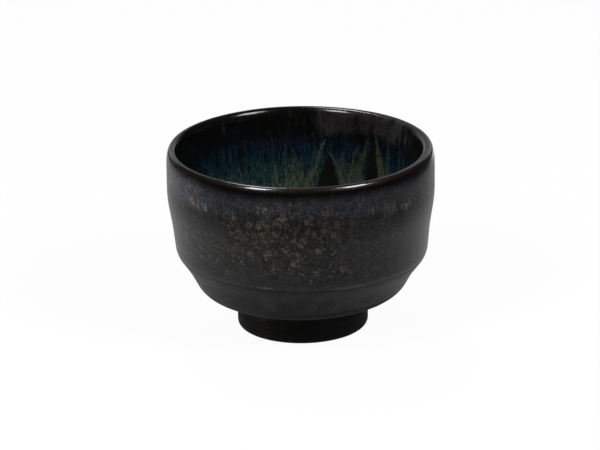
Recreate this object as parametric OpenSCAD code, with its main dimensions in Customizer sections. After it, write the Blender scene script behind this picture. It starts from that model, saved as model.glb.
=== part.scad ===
// Small footed sake cup, turned about the Z axis and standing on z = 0.
// A dark stoneware bowl is luted to a carved foot ring and coated with five glazes.
// All sizes are in millimetres, measured over the glaze.

/* [Cup] */
// Height from the foot's base to the top of the lip
cup_h = 49; // [44:0.5:60]
// Diameter of the upper wall, the widest part
rim_d = 70; // [58:0.5:84]

/* [Lip] */
// Thickness of the lip
lip_w = 2.6; // [2.2:0.1:4]
// Rounding of the lip's outer edge
lip_outer_r = 1.4; // [0.8:0.1:1.8]
// Rounding of the lip's inner edge
lip_inner_r = 1.1; // [0.6:0.1:1.2]

/* [Wall] */
// Height of the shoulder, where the wall stops flaring, above the waist
shoulder_rise = 7.6; // [5:0.2:10]
// Rounding of the shoulder
shoulder_r = 35; // [10:1:40]
// Distance that the waist stands in from the upper wall
waist_in = 1.2; // [0.8:0.1:1.6]
// Height of the waist above the wall's lower edge
waist_rise = 7.6; // [5:0.2:10]
// Rounding of the waist
waist_r = 20; // [5:1:40]
// Distance that the wall's lower edge stands in from the upper wall
edge_in = 2; // [1.8:0.1:3]
// Height of the wall's lower edge above the hip's lower corner
edge_rise = 10.8; // [9:0.1:13]
// Rounding of the wall's lower edge
edge_r = 5; // [2:0.5:7]

/* [Hip] */
// Width of the bevel under the wall's edge
bevel_w = 3.3; // [2.5:0.1:4]
// Height of the bevel
bevel_h = 4.5; // [3.5:0.1:5.5]
// Rounding of the crease where the bevel meets the hip
crease_r = 6; // [2:0.5:12]
// Distance that the hip's lower corner stands in from the wall's lower edge
hip_in = 6.6; // [5:0.1:9]
// Height of the hip's lower corner above the foot ring
hip_rise = 1.5; // [0.7:0.1:3]
// Rounding of the hip's lower corner
hip_r = 7; // [2:0.5:9]

/* [Foot] */
// Height of the foot ring
foot_h = 8.5; // [7:0.1:9]
// Diameter of the foot where it meets the bowl
foot_top_d = 34.6; // [30:0.2:38]
// Diameter of the foot at its base
foot_base_d = 34.4; // [30:0.2:38]
// Height of the straight collar at the top of the foot
foot_collar = 1; // [0.8:0.1:2]
// Width of the ring that the cup stands on
foot_wall = 3.8; // [2.5:0.1:6]
// Rounding of the foot's edges at its base
foot_edge_r = 1.3; // [0.5:0.1:1.6]
// Depth of the recess carved under the foot
recess_depth = 5; // [3:0.1:6]
// Rounding at the top of the recess
recess_r = 1.5; // [0.5:0.1:2.5]

/* [Bowl] */
// Wall between the edge over the hip and the inner heel
heel_wall = 4.1; // [3:0.1:6]
// Floor between the foot ring and the inner heel
heel_floor = 4; // [3:0.1:6]
// Rounding of the inner heel
heel_r = 14; // [6:0.5:18]
// Fall of the floor from the heel to the middle
floor_fall = 1.1; // [0.2:0.1:1.8]

/* [Glaze] */
// Thickness of the coats on the lip and on the outside
coat_t = 0.5; // [0.2:0.1:0.6]
// Thickness of the lining, which stands proud of the lip's coat
lining_t = 1; // [0.8:0.1:1.6]
// Depth of the lip's coat on the outside, from the top of the lip
lip_band_out = 3; // [2:0.1:5]
// Depth of the lip's coat on the inside, from the top of the lip
lip_band_in = 6.4; // [4:0.1:10]
// Distance that the edge of the pool in the bottom stands in from the inner heel
pool_in = 15.9; // [15.5:0.1:19]

/* [Hidden] */
$fn = 96;
arc_steps = 8;

// Corners of the glazed outline, as [radius, height], from the foot up the outside and down the inside
foot_corner = [foot_top_d / 2, foot_h - coat_t];
hip_corner = [rim_d / 2 - edge_in - hip_in, foot_h + hip_rise];
edge_corner = hip_corner + [hip_in, edge_rise];
crease_corner = edge_corner - [bevel_w, bevel_h];
waist_corner = [rim_d / 2 - waist_in, edge_corner[1] + waist_rise];
shoulder_corner = [rim_d / 2, waist_corner[1] + shoulder_rise];
lip_outer = [rim_d / 2, cup_h];
lip_inner = [rim_d / 2 - lip_w, cup_h];
heel_corner = [edge_corner[0] - heel_wall, foot_h + heel_floor];
floor_middle = [0, heel_corner[1] - floor_fall];

// The lip's outer rounding stops short of its inner one
lip_round = min(lip_outer_r, lip_w - lip_inner_r);

// A station on the outline is a point and the direction out of the clay there
function unit(v) = v / norm(v);
function out_of(a, b) = let (d = unit(b - a)) [d[1], -d[0]];
function at_height(a, b, z) = [a + (b - a) * (z - a[1]) / (b[1] - a[1]), out_of(a, b)];
function at_radius(a, b, r) = [a + (b - a) * (r - a[0]) / (b[0] - a[0]), out_of(a, b)];
function turned(v, angle) = [v[0] * cos(angle) - v[1] * sin(angle), v[0] * sin(angle) + v[1] * cos(angle)];

// Stations on the arc that rounds the corner b between a and c
function rounded(a, b, c, radius) =
    let (
        ahead = unit(b - a),
        side = sign(cross(ahead, c - b)),
        turn = acos(ahead * unit(c - b)),
        out = out_of(a, b),
        middle = b - ahead * radius * tan(turn / 2) - side * radius * out
    )
    [for (i = [0 : arc_steps])
        let (n = turned(out, side * turn * i / arc_steps))
        [middle + side * radius * n, n]];

// Points of a run of stations, raised out of the clay by a height, or sunk by a negative one
function raised(run, height) = [for (s = run) s[0] + s[1] * height];
function backwards(points) = [for (i = [len(points) - 1 : -1 : 0]) points[i]];
function last(run) = run[len(run) - 1];
function after_first(run) = [for (i = [1 : len(run) - 1]) run[i]];

// The rounding of the wall's lower edge, where the hip's coat meets the wall's
edge_arc = rounded(crease_corner, edge_corner, waist_corner, edge_r);

// The five runs of the outline, one for each coat
hip_run = concat(
    [[foot_corner, [0, -1]]],
    rounded(foot_corner, hip_corner, crease_corner, hip_r),
    rounded(hip_corner, crease_corner, edge_corner, crease_r),
    [edge_arc[0]]
);
wall_run = concat(
    edge_arc,
    rounded(edge_corner, waist_corner, shoulder_corner, waist_r),
    rounded(waist_corner, shoulder_corner, lip_outer, shoulder_r),
    [at_height(shoulder_corner, lip_outer, cup_h - lip_band_out)]
);
lip_run = concat(
    [last(wall_run)],
    rounded(shoulder_corner, lip_outer, lip_inner, lip_round),
    rounded(lip_outer, lip_inner, heel_corner, lip_inner_r),
    [at_height(lip_inner, heel_corner, cup_h - lip_band_in)]
);
lining_run = concat(
    [last(lip_run)],
    rounded(lip_inner, heel_corner, floor_middle, heel_r),
    [at_radius(heel_corner, floor_middle, heel_corner[0] - pool_in)]
);
pool_run = [last(lining_run), [floor_middle, [0, 1]]];

// The lining's upper edge is a quarter round, as tall as the lining stands proud
proud = lining_t - coat_t;
lining_edge = [for (i = [0 : arc_steps])
    let (s = lining_run[0], down = turned(s[1], 90), a = 90 * i / arc_steps)
    s[0] + down * proud * (1 - cos(a)) + s[1] * proud * sin(a)];
lining_top = concat(lining_edge, raised(after_first(lining_run), proud));

// One coat of glaze lying on the clay along a run of the outline
module coat(run) {
    rotate_extrude() polygon(concat(raised(run, 0), backwards(raised(run, -coat_t))));
}

// Thrown wall and floor of dark stoneware, inside its coats of glaze
module clay_bowl() {
    clay_runs = concat(
        hip_run,
        after_first(wall_run),
        after_first(lip_run),
        after_first(lining_run),
        after_first(pool_run)
    );
    color("#3a322c") rotate_extrude() polygon(concat([[0, foot_h]], raised(clay_runs, -coat_t)));
}

// Foot carved from a disc of clay, with a recess under it
module foot_ring() {
    base_r = foot_base_d / 2;
    top_r = foot_top_d / 2;
    recess_wall = base_r - foot_wall;
    ceiling = [recess_wall, recess_depth];
    inner_edge = [recess_wall, 0];
    outer_edge = [base_r, 0];
    collar = [top_r, foot_h - foot_collar];
    recess = rounded([0, recess_depth], ceiling, inner_edge, recess_r);
    base = concat(
        rounded(ceiling, inner_edge, outer_edge, foot_edge_r),
        rounded(inner_edge, outer_edge, collar, foot_edge_r)
    );
    color("#1b1715") rotate_extrude() polygon(concat(
        [[0, recess_depth]],
        raised(recess, 0),
        raised(base, 0),
        [collar, [top_r, foot_h], [0, foot_h]]
    ));
}

// Satin coat on the hip and the bevel, from the foot to the wall's edge
module hip_glaze() {
    color("#343338") coat(hip_run);
}

// Mottled coat on the wall, from its lower edge to the lip's coat
module outer_glaze() {
    color("#2b2a2b") coat(wall_run);
}

// Glossy black-brown coat over the lip
module rim_glaze() {
    color("#1a1311") coat(lip_run);
}

// Streaked lining, with a rounded upper edge
module inner_glaze() {
    color("#16323a") rotate_extrude() polygon(concat(lining_top, backwards(raised(lining_run, -coat_t))));
}

// Glaze that ran down and set level in the bottom
module well_glaze() {
    shore = last(lining_top);
    color("#3f4526") rotate_extrude() polygon(concat([[0, shore[1]], shore], raised(pool_run, -coat_t)));
}

clay_bowl();
foot_ring();
hip_glaze();
outer_glaze();
rim_glaze();
inner_glaze();
well_glaze();
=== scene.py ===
"""Dresses a turned stoneware sake cup in its glazes and stands it on a pale studio floor.

The cup's sizes are in millimetres and its angles in degrees, as a potter would measure them. They
become metres where a mesh is made. The studio's floor, lamps and camera are set out in metres.
"""

import logging
import math
from dataclasses import dataclass
from enum import Enum

import bmesh
import bpy
from mathutils import Matrix, Vector


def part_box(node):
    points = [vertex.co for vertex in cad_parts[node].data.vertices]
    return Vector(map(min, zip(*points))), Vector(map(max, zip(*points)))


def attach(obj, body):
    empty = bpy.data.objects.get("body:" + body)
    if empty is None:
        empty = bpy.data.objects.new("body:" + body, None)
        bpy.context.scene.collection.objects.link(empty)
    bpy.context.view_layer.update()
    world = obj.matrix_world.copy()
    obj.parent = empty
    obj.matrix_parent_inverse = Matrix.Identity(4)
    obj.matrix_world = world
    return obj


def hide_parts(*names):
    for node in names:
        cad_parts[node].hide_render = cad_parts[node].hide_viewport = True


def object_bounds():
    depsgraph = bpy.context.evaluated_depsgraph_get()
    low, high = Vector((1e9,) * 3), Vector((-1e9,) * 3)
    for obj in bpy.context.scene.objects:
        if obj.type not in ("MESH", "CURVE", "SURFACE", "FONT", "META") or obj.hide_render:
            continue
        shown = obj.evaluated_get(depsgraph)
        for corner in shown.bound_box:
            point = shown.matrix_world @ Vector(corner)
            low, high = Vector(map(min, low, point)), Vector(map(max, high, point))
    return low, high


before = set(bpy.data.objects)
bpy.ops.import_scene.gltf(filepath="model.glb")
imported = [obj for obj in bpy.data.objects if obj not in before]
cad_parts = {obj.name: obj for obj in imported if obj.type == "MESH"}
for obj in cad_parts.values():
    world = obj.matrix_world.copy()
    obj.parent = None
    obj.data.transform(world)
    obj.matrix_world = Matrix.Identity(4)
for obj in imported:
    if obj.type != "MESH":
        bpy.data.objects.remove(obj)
CAD_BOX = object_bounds()

LOG = logging.getLogger("sake_cup")
MM = 0.001

Colour = tuple[float, float, float, float]
Span = tuple[float, float]


class Slot(Enum):
    """The record's material slots for the pieces that are modelled here."""

    FOOT = "bare_foot_clay"
    HIP = "satin_hip_glaze"
    WALL = "oil_spot_glaze"
    LIP = "black_lip_glaze"
    LINING = "streaked_lining_glaze"
    POOL = "pooled_glaze"


def tone(red: int, green: int, blue: int) -> Colour:
    """Turns a display colour into linear light.

    Args:
        red: Red, from 0 to 255.
        green: Green, from 0 to 255.
        blue: Blue, from 0 to 255.

    Returns:
        The colour in linear light, with an alpha of 1.
    """

    def linear(value: int) -> float:
        """Undoes the display curve for one channel."""
        share = value / 255
        return share / 12.92 if share <= 0.04045 else ((share + 0.055) / 1.055) ** 2.4

    return linear(red), linear(green), linear(blue), 1.0


class Wire:
    """A node's output socket, which Python's operators extend with Math nodes."""

    def __init__(self, graph: "Graph", socket: bpy.types.NodeSocket) -> None:
        """Keeps the socket, and the graph that new Math nodes go into."""
        self.graph = graph
        self.socket = socket

    def math(self, operation: str, *others: "Wire | float") -> "Wire":
        """Adds a Math node that takes this wire first.

        Args:
            operation: The Math node's operation.
            others: The node's other operands, in order.

        Returns:
            The node's result.
        """
        return self.graph.maths(operation, self, *others)

    def __add__(self, other: "Wire | float") -> "Wire":
        """Adds."""
        return self.math("ADD", other)

    def __radd__(self, other: float) -> "Wire":
        """Adds to a number on the left."""
        return self.graph.maths("ADD", other, self)

    def __sub__(self, other: "Wire | float") -> "Wire":
        """Subtracts."""
        return self.math("SUBTRACT", other)

    def __rsub__(self, other: float) -> "Wire":
        """Subtracts from a number on the left."""
        return self.graph.maths("SUBTRACT", other, self)

    def __mul__(self, other: "Wire | float") -> "Wire":
        """Multiplies."""
        return self.math("MULTIPLY", other)

    def __rmul__(self, other: float) -> "Wire":
        """Multiplies a number on the left."""
        return self.graph.maths("MULTIPLY", other, self)

    def __truediv__(self, other: "Wire | float") -> "Wire":
        """Divides."""
        return self.math("DIVIDE", other)

    def __rtruediv__(self, other: float) -> "Wire":
        """Divides a number on the left."""
        return self.graph.maths("DIVIDE", other, self)

    def __neg__(self) -> "Wire":
        """Changes the sign."""
        return self.math("MULTIPLY", -1.0)

    def __abs__(self) -> "Wire":
        """Drops the sign."""
        return self.math("ABSOLUTE")

    def at_least(self, other: "Wire | float") -> "Wire":
        """Takes the larger value."""
        return self.math("MAXIMUM", other)

    def rise(self, low: "Wire | float", high: "Wire | float") -> "Wire":
        """Eases from 0 to 1.

        Args:
            low: The value up to which the result is 0.
            high: The value from which the result is 1.

        Returns:
            The eased result.
        """
        settings = {"interpolation_type": "SMOOTHSTEP"}
        inputs = {"Value": self, "From Min": low, "From Max": high}
        return self.graph.node("ShaderNodeMapRange", settings, inputs).out()

    def spread(self, low: float, high: float) -> "Wire":
        """Spreads a value from 0 to 1 over a range."""
        return low + (high - low) * self

    def window(self, low: "Wire | float", high: "Wire | float", soft: float) -> "Wire":
        """Is 1 between two values and eases to 0 outside them.

        Args:
            low: The middle of the rising edge.
            high: The middle of the falling edge.
            soft: Half the width of each edge.

        Returns:
            The window's result.
        """
        return self.rise(low - soft, low + soft) * (1 - self.rise(high - soft, high + soft))


class Block:
    """A node, with its outputs as wires."""

    def __init__(self, graph: "Graph", node: bpy.types.Node) -> None:
        """Keeps the node and its graph."""
        self.graph = graph
        self.node = node

    def out(self, key: int | str = 0) -> Wire:
        """Gives an output by its name or number."""
        return Wire(self.graph, self.node.outputs[key])


class Graph:
    """A node tree that is built from Python."""

    def __init__(self, tree: bpy.types.NodeTree) -> None:
        """Keeps the tree."""
        self.tree = tree

    def node(self, kind: str, settings: dict | None = None, inputs: dict | None = None) -> Block:
        """Adds a node.

        Args:
            kind: The node's type.
            settings: The node's own properties, which are set first. "stops" fills a ramp.
            inputs: Values or wires for its sockets, by name or number.

        Returns:
            The new node.
        """
        made = self.tree.nodes.new(kind)
        for name, value in (settings or {}).items():
            if name == "stops":
                self._fill_ramp(made.color_ramp, value)
            else:
                setattr(made, name, value)
        for key, value in (inputs or {}).items():
            if isinstance(value, Wire):
                self.tree.links.new(value.socket, made.inputs[key])
            else:
                made.inputs[key].default_value = value
        return Block(self, made)

    @staticmethod
    def _fill_ramp(ramp: bpy.types.ColorRamp, stops: list[tuple[float, Colour]]) -> None:
        """Sets a ramp's stops."""
        while len(ramp.elements) < len(stops):
            ramp.elements.new(1.0)
        for element, (place, colour) in zip(ramp.elements, stops):
            element.position = place
            element.color = colour

    def maths(self, operation: str, *operands: Wire | float) -> Wire:
        """Adds a Math node.

        Args:
            operation: The node's operation.
            operands: Its operands, in order.

        Returns:
            The node's result.
        """
        return self.node("ShaderNodeMath", {"operation": operation}, dict(enumerate(operands))).out()

    def vector(self, operation: str, first: Wire, second: Wire | tuple[float, ...]) -> Wire:
        """Adds a Vector Math node with two vectors.

        Args:
            operation: The node's operation.
            first: The first vector.
            second: The second vector.

        Returns:
            The node's vector.
        """
        return self.node("ShaderNodeVectorMath", {"operation": operation}, {0: first, 1: second}).out()

    def scaled(self, vector: Wire, factor: Wire | float) -> Wire:
        """Scales a vector or a colour by a number."""
        inputs = {0: vector, "Scale": factor}
        return self.node("ShaderNodeVectorMath", {"operation": "SCALE"}, inputs).out()

    def split(self, vector: Wire) -> tuple[Wire, Wire, Wire]:
        """Gives a vector's three parts."""
        block = self.node("ShaderNodeSeparateXYZ", None, {0: vector})
        return block.out(0), block.out(1), block.out(2)

    def join(self, x: Wire | float, y: Wire | float, z: Wire | float) -> Wire:
        """Makes a vector of three parts."""
        return self.node("ShaderNodeCombineXYZ", None, {0: x, 1: y, 2: z}).out()

    def mix(self, share: Wire | float, first: Wire | Colour, second: Wire | Colour) -> Wire:
        """Mixes two colours.

        Args:
            share: The share of the second colour.
            first: The colour at 0.
            second: The colour at 1.

        Returns:
            The mixed colour.
        """
        settings = {"data_type": "RGBA", "blend_type": "MIX", "clamp_factor": True}
        return self.node("ShaderNodeMix", settings, {0: share, 6: first, 7: second}).out(2)

    def blend(self, share: Wire, first: Wire, second: Wire) -> Wire:
        """Mixes two shaders, by the share of the second."""
        return self.node("ShaderNodeMixShader", None, {0: share, 1: first, 2: second}).out()

    def noise(self, vector: Wire, scale: float, detail: float = 2.0, rough: float = 0.5) -> Wire:
        """Adds a noise of about 0 to 1.

        Args:
            vector: Where the noise is read.
            scale: How many blotches there are to a unit of the vector.
            detail: How many finer layers there are.
            rough: How strong each finer layer is.

        Returns:
            The noise's value.
        """
        inputs = {"Vector": vector, "Scale": scale, "Detail": detail, "Roughness": rough}
        return self.node("ShaderNodeTexNoise", {"noise_dimensions": "3D"}, inputs).out(0)

    def warped(self, vector: Wire, scale: float, reach: float) -> Wire:
        """Shifts a vector by a noise.

        Args:
            vector: The vector to shift.
            scale: The noise's scale.
            reach: The greatest shift.

        Returns:
            The shifted vector.
        """
        inputs = {"Vector": vector, "Scale": scale, "Detail": 2.0}
        colour = self.node("ShaderNodeTexNoise", {"noise_dimensions": "3D"}, inputs).out(1)
        centred = self.vector("SUBTRACT", colour, (0.5, 0.5, 0.5))
        return self.vector("ADD", vector, self.scaled(centred, 2 * reach))

    def cells(self, vector: Wire, scale: float, feature: str = "F1") -> Block:
        """Adds a Voronoi pattern of cells."""
        return self.node("ShaderNodeTexVoronoi", {"feature": feature}, {"Vector": vector, "Scale": scale})


class Space:
    """Where a shading point lies on the cup, in millimetres and degrees."""

    WALL_R = 32.0

    def __init__(self, graph: Graph) -> None:
        """Reads the piece's own coordinates."""
        self.graph = graph
        own = graph.node("ShaderNodeTexCoord").out("Object")
        self.point = graph.scaled(own, 1 / MM)
        x, y, self.z = graph.split(self.point)
        self.radius = (x * x + y * y).math("SQRT")
        self.round_x = x / self.radius
        self.round_y = y / self.radius
        degrees = 180 / math.pi
        self.front = x.math("ARCTAN2", -y) * degrees
        self.back = x.math("ARCTAN2", y) * degrees

    def runs(self, across: float, along: float, sway: Wire | float = 0.0) -> Wire:
        """Gives coordinates for a pattern that runs down the wall.

        Args:
            across: The width of one blotch, in mm.
            along: The length of one blotch, in mm.
            sway: How far the pattern stands aside, in mm.

        Returns:
            A vector in blotches.
        """
        around = self.WALL_R / across
        aside = sway / self.WALL_R
        x = (self.round_x - self.round_y * aside) * around
        y = (self.round_y + self.round_x * aside) * around
        return self.graph.join(x, y, self.z / along)

    def patch(self, azimuth: float, height: float, half_angle: float, half_height: float) -> Wire:
        """Measures how far out a point lies from the middle of a patch on the outside.

        Args:
            azimuth: The patch's middle, from the front.
            height: The patch's middle, above the floor.
            half_angle: The patch's half width.
            half_height: The patch's half height.

        Returns:
            The squared distance, where 1 is the patch's edge.
        """
        across = (self.front - azimuth) / half_angle
        along = (self.z - height) / half_height
        return across * across + along * along


@dataclass(frozen=True)
class Mottle:
    """A noise over a surface.

    Attributes:
        scale: How many blotches there are to a mm.
        detail: How many finer layers there are.
        rough: How strong each finer layer is.
        warp: The scale and the reach in mm of a noise that shifts it, if there is one.
    """

    scale: float
    detail: float = 3.0
    rough: float = 0.6
    warp: Span | None = None

    def over(self, space: Space) -> Wire:
        """Reads the noise at a shading point."""
        place = space.graph.warped(space.point, *self.warp) if self.warp else space.point
        return space.graph.noise(place, self.scale, self.detail, self.rough)


@dataclass(frozen=True)
class Streaks:
    """A noise that runs down a wall.

    Attributes:
        across: The width of a blotch, in mm.
        along: The length of a blotch, in mm.
        detail: How many finer layers there are.
        rough: How strong each finer layer is.
    """

    across: float
    along: float
    detail: float = 3.0
    rough: float = 0.65

    def over(self, space: Space, sway: Wire | float = 0.0) -> Wire:
        """Reads the noise at a shading point, with its blotches a distance aside."""
        return space.graph.noise(space.runs(self.across, self.along, sway), 1.0, self.detail, self.rough)


@dataclass(frozen=True)
class Contrast:
    """How a noise becomes light and dark: its gain, what comes off it, and the least that stays."""

    gain: float
    loss: float
    least: float

    def on(self, value: Wire) -> Wire:
        """Brings out the light and dark of a noise."""
        return (self.gain * value - self.loss).at_least(self.least)


@dataclass(frozen=True)
class Skin:
    """What a finish looks like at a point: its colour, roughness, relief and clear coat."""

    colour: Wire | Colour
    rough: Wire | float
    relief: Wire
    coat: Wire | float = 0.0


@dataclass(frozen=True)
class Gloss:
    """A shader's constants."""

    specular: float
    relief_depth: float
    relief_strength: float = 1.0
    coat_rough: float = 0.08


def shaded(graph: Graph, skin: Skin, gloss: Gloss) -> Wire:
    """Puts a skin on a Principled shader.

    Args:
        graph: The material's graph.
        skin: The colour, roughness, relief and clear coat.
        gloss: The shader's constants, with the relief's depth in mm.

    Returns:
        The shader's output.
    """
    bump_inputs = {
        "Strength": gloss.relief_strength,
        "Distance": gloss.relief_depth * MM,
        "Height": skin.relief,
    }
    normal = graph.node("ShaderNodeBump", None, bump_inputs).out()
    inputs = {
        "Base Color": skin.colour,
        "Roughness": skin.rough,
        "Specular IOR Level": gloss.specular,
        "Coat Weight": skin.coat,
        "Coat Roughness": gloss.coat_rough,
        "Normal": normal,
    }
    return graph.node("ShaderNodeBsdfPrincipled", None, inputs).out()


class Finish:
    """A procedural material. Each kind of clay or glaze says what it looks like."""

    name = "finish"

    def shader(self, graph: Graph, space: Space) -> Wire:
        """Builds the finish's shader."""
        raise NotImplementedError

    def material(self) -> bpy.types.Material:
        """Makes the material.

        Returns:
            The material, with its node tree filled.
        """
        material = bpy.data.materials.new(self.name)
        material.use_nodes = True
        material.node_tree.nodes.clear()
        graph = Graph(material.node_tree)
        surface = self.shader(graph, Space(graph))
        graph.node("ShaderNodeOutputMaterial", None, {"Surface": surface})
        return material


@dataclass(frozen=True)
class StonewareClay(Finish):
    """Dark fired clay with grog, which the glazes cover."""

    name: str = "stoneware_clay"
    body: Colour = tone(58, 48, 41)
    grog: Colour = tone(92, 80, 68)
    grog_span: Span = (0.5, 0.72)
    rough_range: Span = (0.75, 0.95)
    speckle_noise: Mottle = Mottle(2.2)
    gloss: Gloss = Gloss(specular=0.3, relief_depth=0.1)

    def shader(self, graph: Graph, space: Space) -> Wire:
        """Builds a speckled matte clay."""
        speckle = self.speckle_noise.over(space)
        colour = graph.mix(speckle.rise(*self.grog_span), self.body, self.grog)
        return shaded(graph, Skin(colour, speckle.spread(*self.rough_range), speckle), self.gloss)


@dataclass(frozen=True)
class FootClay(Finish):
    """Bare near-black clay of the foot, with turning lines, paler at its top and with a painted sheen on
    its left.
    """

    name: str = "bare_foot_clay"
    body: Colour = tone(8, 7, 6)
    pale_heights: Span = (2.0, 8.5)
    pale_range: Span = (0.5, 1.4)
    left_sheen: float = 4.0
    left_sheen_span: Span = (-0.1, 0.9)
    lines_per_mm: float = 2.2
    grain_noise: Mottle = Mottle(2.6, rough=0.65)
    cloud_noise: Mottle = Mottle(0.12, 2.0, 0.5)
    scorch: Colour = tone(23, 19, 18)
    scorch_span: Span = (0.46, 0.7)
    grit: Colour = tone(36, 34, 33)
    grit_span: Span = (0.58, 0.76)
    grit_share: float = 0.8
    rough_range: Span = (0.72, 0.88)
    grain_relief: float = 0.6
    line_relief: float = 0.8
    gloss: Gloss = Gloss(specular=0.08, relief_depth=0.06)

    def shader(self, graph: Graph, space: Space) -> Wire:
        """Builds a matte clay with fine grit and rings."""
        grain = self.grain_noise.over(space)
        cloud = self.cloud_noise.over(space)
        level = (space.z - space.radius) * self.lines_per_mm
        lines = graph.noise(graph.join(space.round_x, space.round_y, level), 1.0)
        colour = graph.mix((cloud * 0.5 + lines * 0.5).rise(*self.scorch_span), self.body, self.scorch)
        colour = graph.mix(grain.rise(*self.grit_span) * self.grit_share, colour, self.grit)
        # Painted sheen: the foot is made paler on its left side.
        sheened = 1 + self.left_sheen * (-space.round_x).rise(*self.left_sheen_span)
        paler = space.z.rise(*self.pale_heights).spread(*self.pale_range)
        colour = graph.scaled(colour, paler * sheened)
        rough = grain.spread(*self.rough_range)
        relief = grain * self.grain_relief + lines * self.line_relief
        return shaded(graph, Skin(colour, rough, relief), self.gloss)


@dataclass(frozen=True)
class Blotch:
    """An uneven patch on the outside: its middle, its half sizes and how strongly it shows."""

    azimuth: float
    height: float
    half_angle: float
    half_height: float
    strength: float


def patches(space: Space, blotches: tuple[Blotch, ...], uneven: Wire, soft: float) -> Wire:
    """Shows a set of uneven patches.

    Args:
        space: Where the point lies.
        blotches: The patches.
        uneven: A noise about 0 that frays their edges.
        soft: How far their edges reach, as a share of their size.

    Returns:
        How far a patch shows.
    """
    shown = None
    for blotch in blotches:
        out = space.patch(blotch.azimuth, blotch.height, blotch.half_angle, blotch.half_height)
        share = (1 - (out + uneven).rise(1 - soft, 1 + soft * 0.4)) * blotch.strength
        shown = share if shown is None else shown.at_least(share)
    return shown


@dataclass(frozen=True)
class HipGlaze(Finish):
    """Smooth satin grey glaze over the hip and the bevel, thin where it ends above the foot, with painted
    shade under the wall's edge.
    """

    name: str = "satin_hip_glaze"
    ground: Colour = tone(14, 13, 14)
    pale: Colour = tone(36, 35, 36)
    pale_span: Span = (0.42, 0.78)
    patch_lift: float = 0.3
    patch_fray: float = 2.0
    patch_soft: float = 0.95
    warm: Colour = tone(22, 20, 19)
    warm_span: Span = (0.5, 0.72)
    warm_share: float = 0.5
    scuff: Colour = tone(64, 62, 64)
    scuff_span: Span = (0.54, 0.7)
    scuff_base: float = 0.4
    scuff_share: float = 0.4
    painted_shade_heights: Span = (15.0, 19.0)
    painted_shade_share: float = 0.35
    glaze_end: float = 12.3
    thin_below: float = 0.8
    thin_above: float = 0.9
    run_depth: float = 1.6
    rough: float = 0.38
    brush_rough: float = 0.12
    grain_rough: float = 0.06
    grain_relief: float = 0.4
    grain_contrast: Contrast = Contrast(3.2, 0.6, 0.2)
    cloud_noise: Mottle = Mottle(0.2)
    brush_noise: Streaks = Streaks(0.6, 6.0, 4.0, 0.7)
    grain_noise: Mottle = Mottle(2.4, rough=0.7)
    scuff_noise: Mottle = Mottle(0.6, 4.0, 0.7, warp=(0.5, 1.2))
    clay: FootClay = FootClay()
    pale_patches: tuple[Blotch, ...] = (
        Blotch(20.0, 14.0, 26.0, 7.0, 0.35),
        Blotch(-17.3, 15.1, 6.0, 2.4, 0.6),
        Blotch(112.0, 14.5, 24.0, 6.0, 0.7),
        Blotch(-120.0, 15.0, 28.0, 6.0, 0.7),
    )
    gloss: Gloss = Gloss(specular=0.08, relief_depth=0.1)

    def shader(self, graph: Graph, space: Space) -> Wire:
        """Builds a softly clouded satin, which runs out on the clay above the foot."""
        cloud = self.cloud_noise.over(space)
        brush = self.brush_noise.over(space)
        grain = self.grain_noise.over(space)
        scuffs = self.scuff_noise.over(space).rise(*self.scuff_span)
        paler = patches(space, self.pale_patches, (cloud - 0.5) * self.patch_fray, self.patch_soft)
        colour = graph.mix((cloud + paler * self.patch_lift).rise(*self.pale_span), self.ground, self.pale)
        colour = graph.mix(brush.rise(*self.warm_span) * self.warm_share, colour, self.warm)
        colour = graph.mix(scuffs * (self.scuff_base + paler) * self.scuff_share, colour, self.scuff)
        shade = self.grain_contrast.on(grain) * (0.5 + brush)
        # Painted shade: darker towards the top of the bevel, under the wall's overhanging edge.
        colour = graph.scaled(colour, shade * (1 - self.painted_shade_share * space.z.rise(*self.painted_shade_heights)))
        rough = self.rough + self.brush_rough * brush + self.grain_rough * grain
        glazed = shaded(graph, Skin(colour, rough, grain * self.grain_relief + brush), self.gloss)
        height = space.z + (brush - 0.5) * self.run_depth
        above = height.rise(self.glaze_end - self.thin_below, self.glaze_end + self.thin_above)
        bare = self.clay.shader(graph, space)
        return graph.blend(above, bare, glazed)


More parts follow.
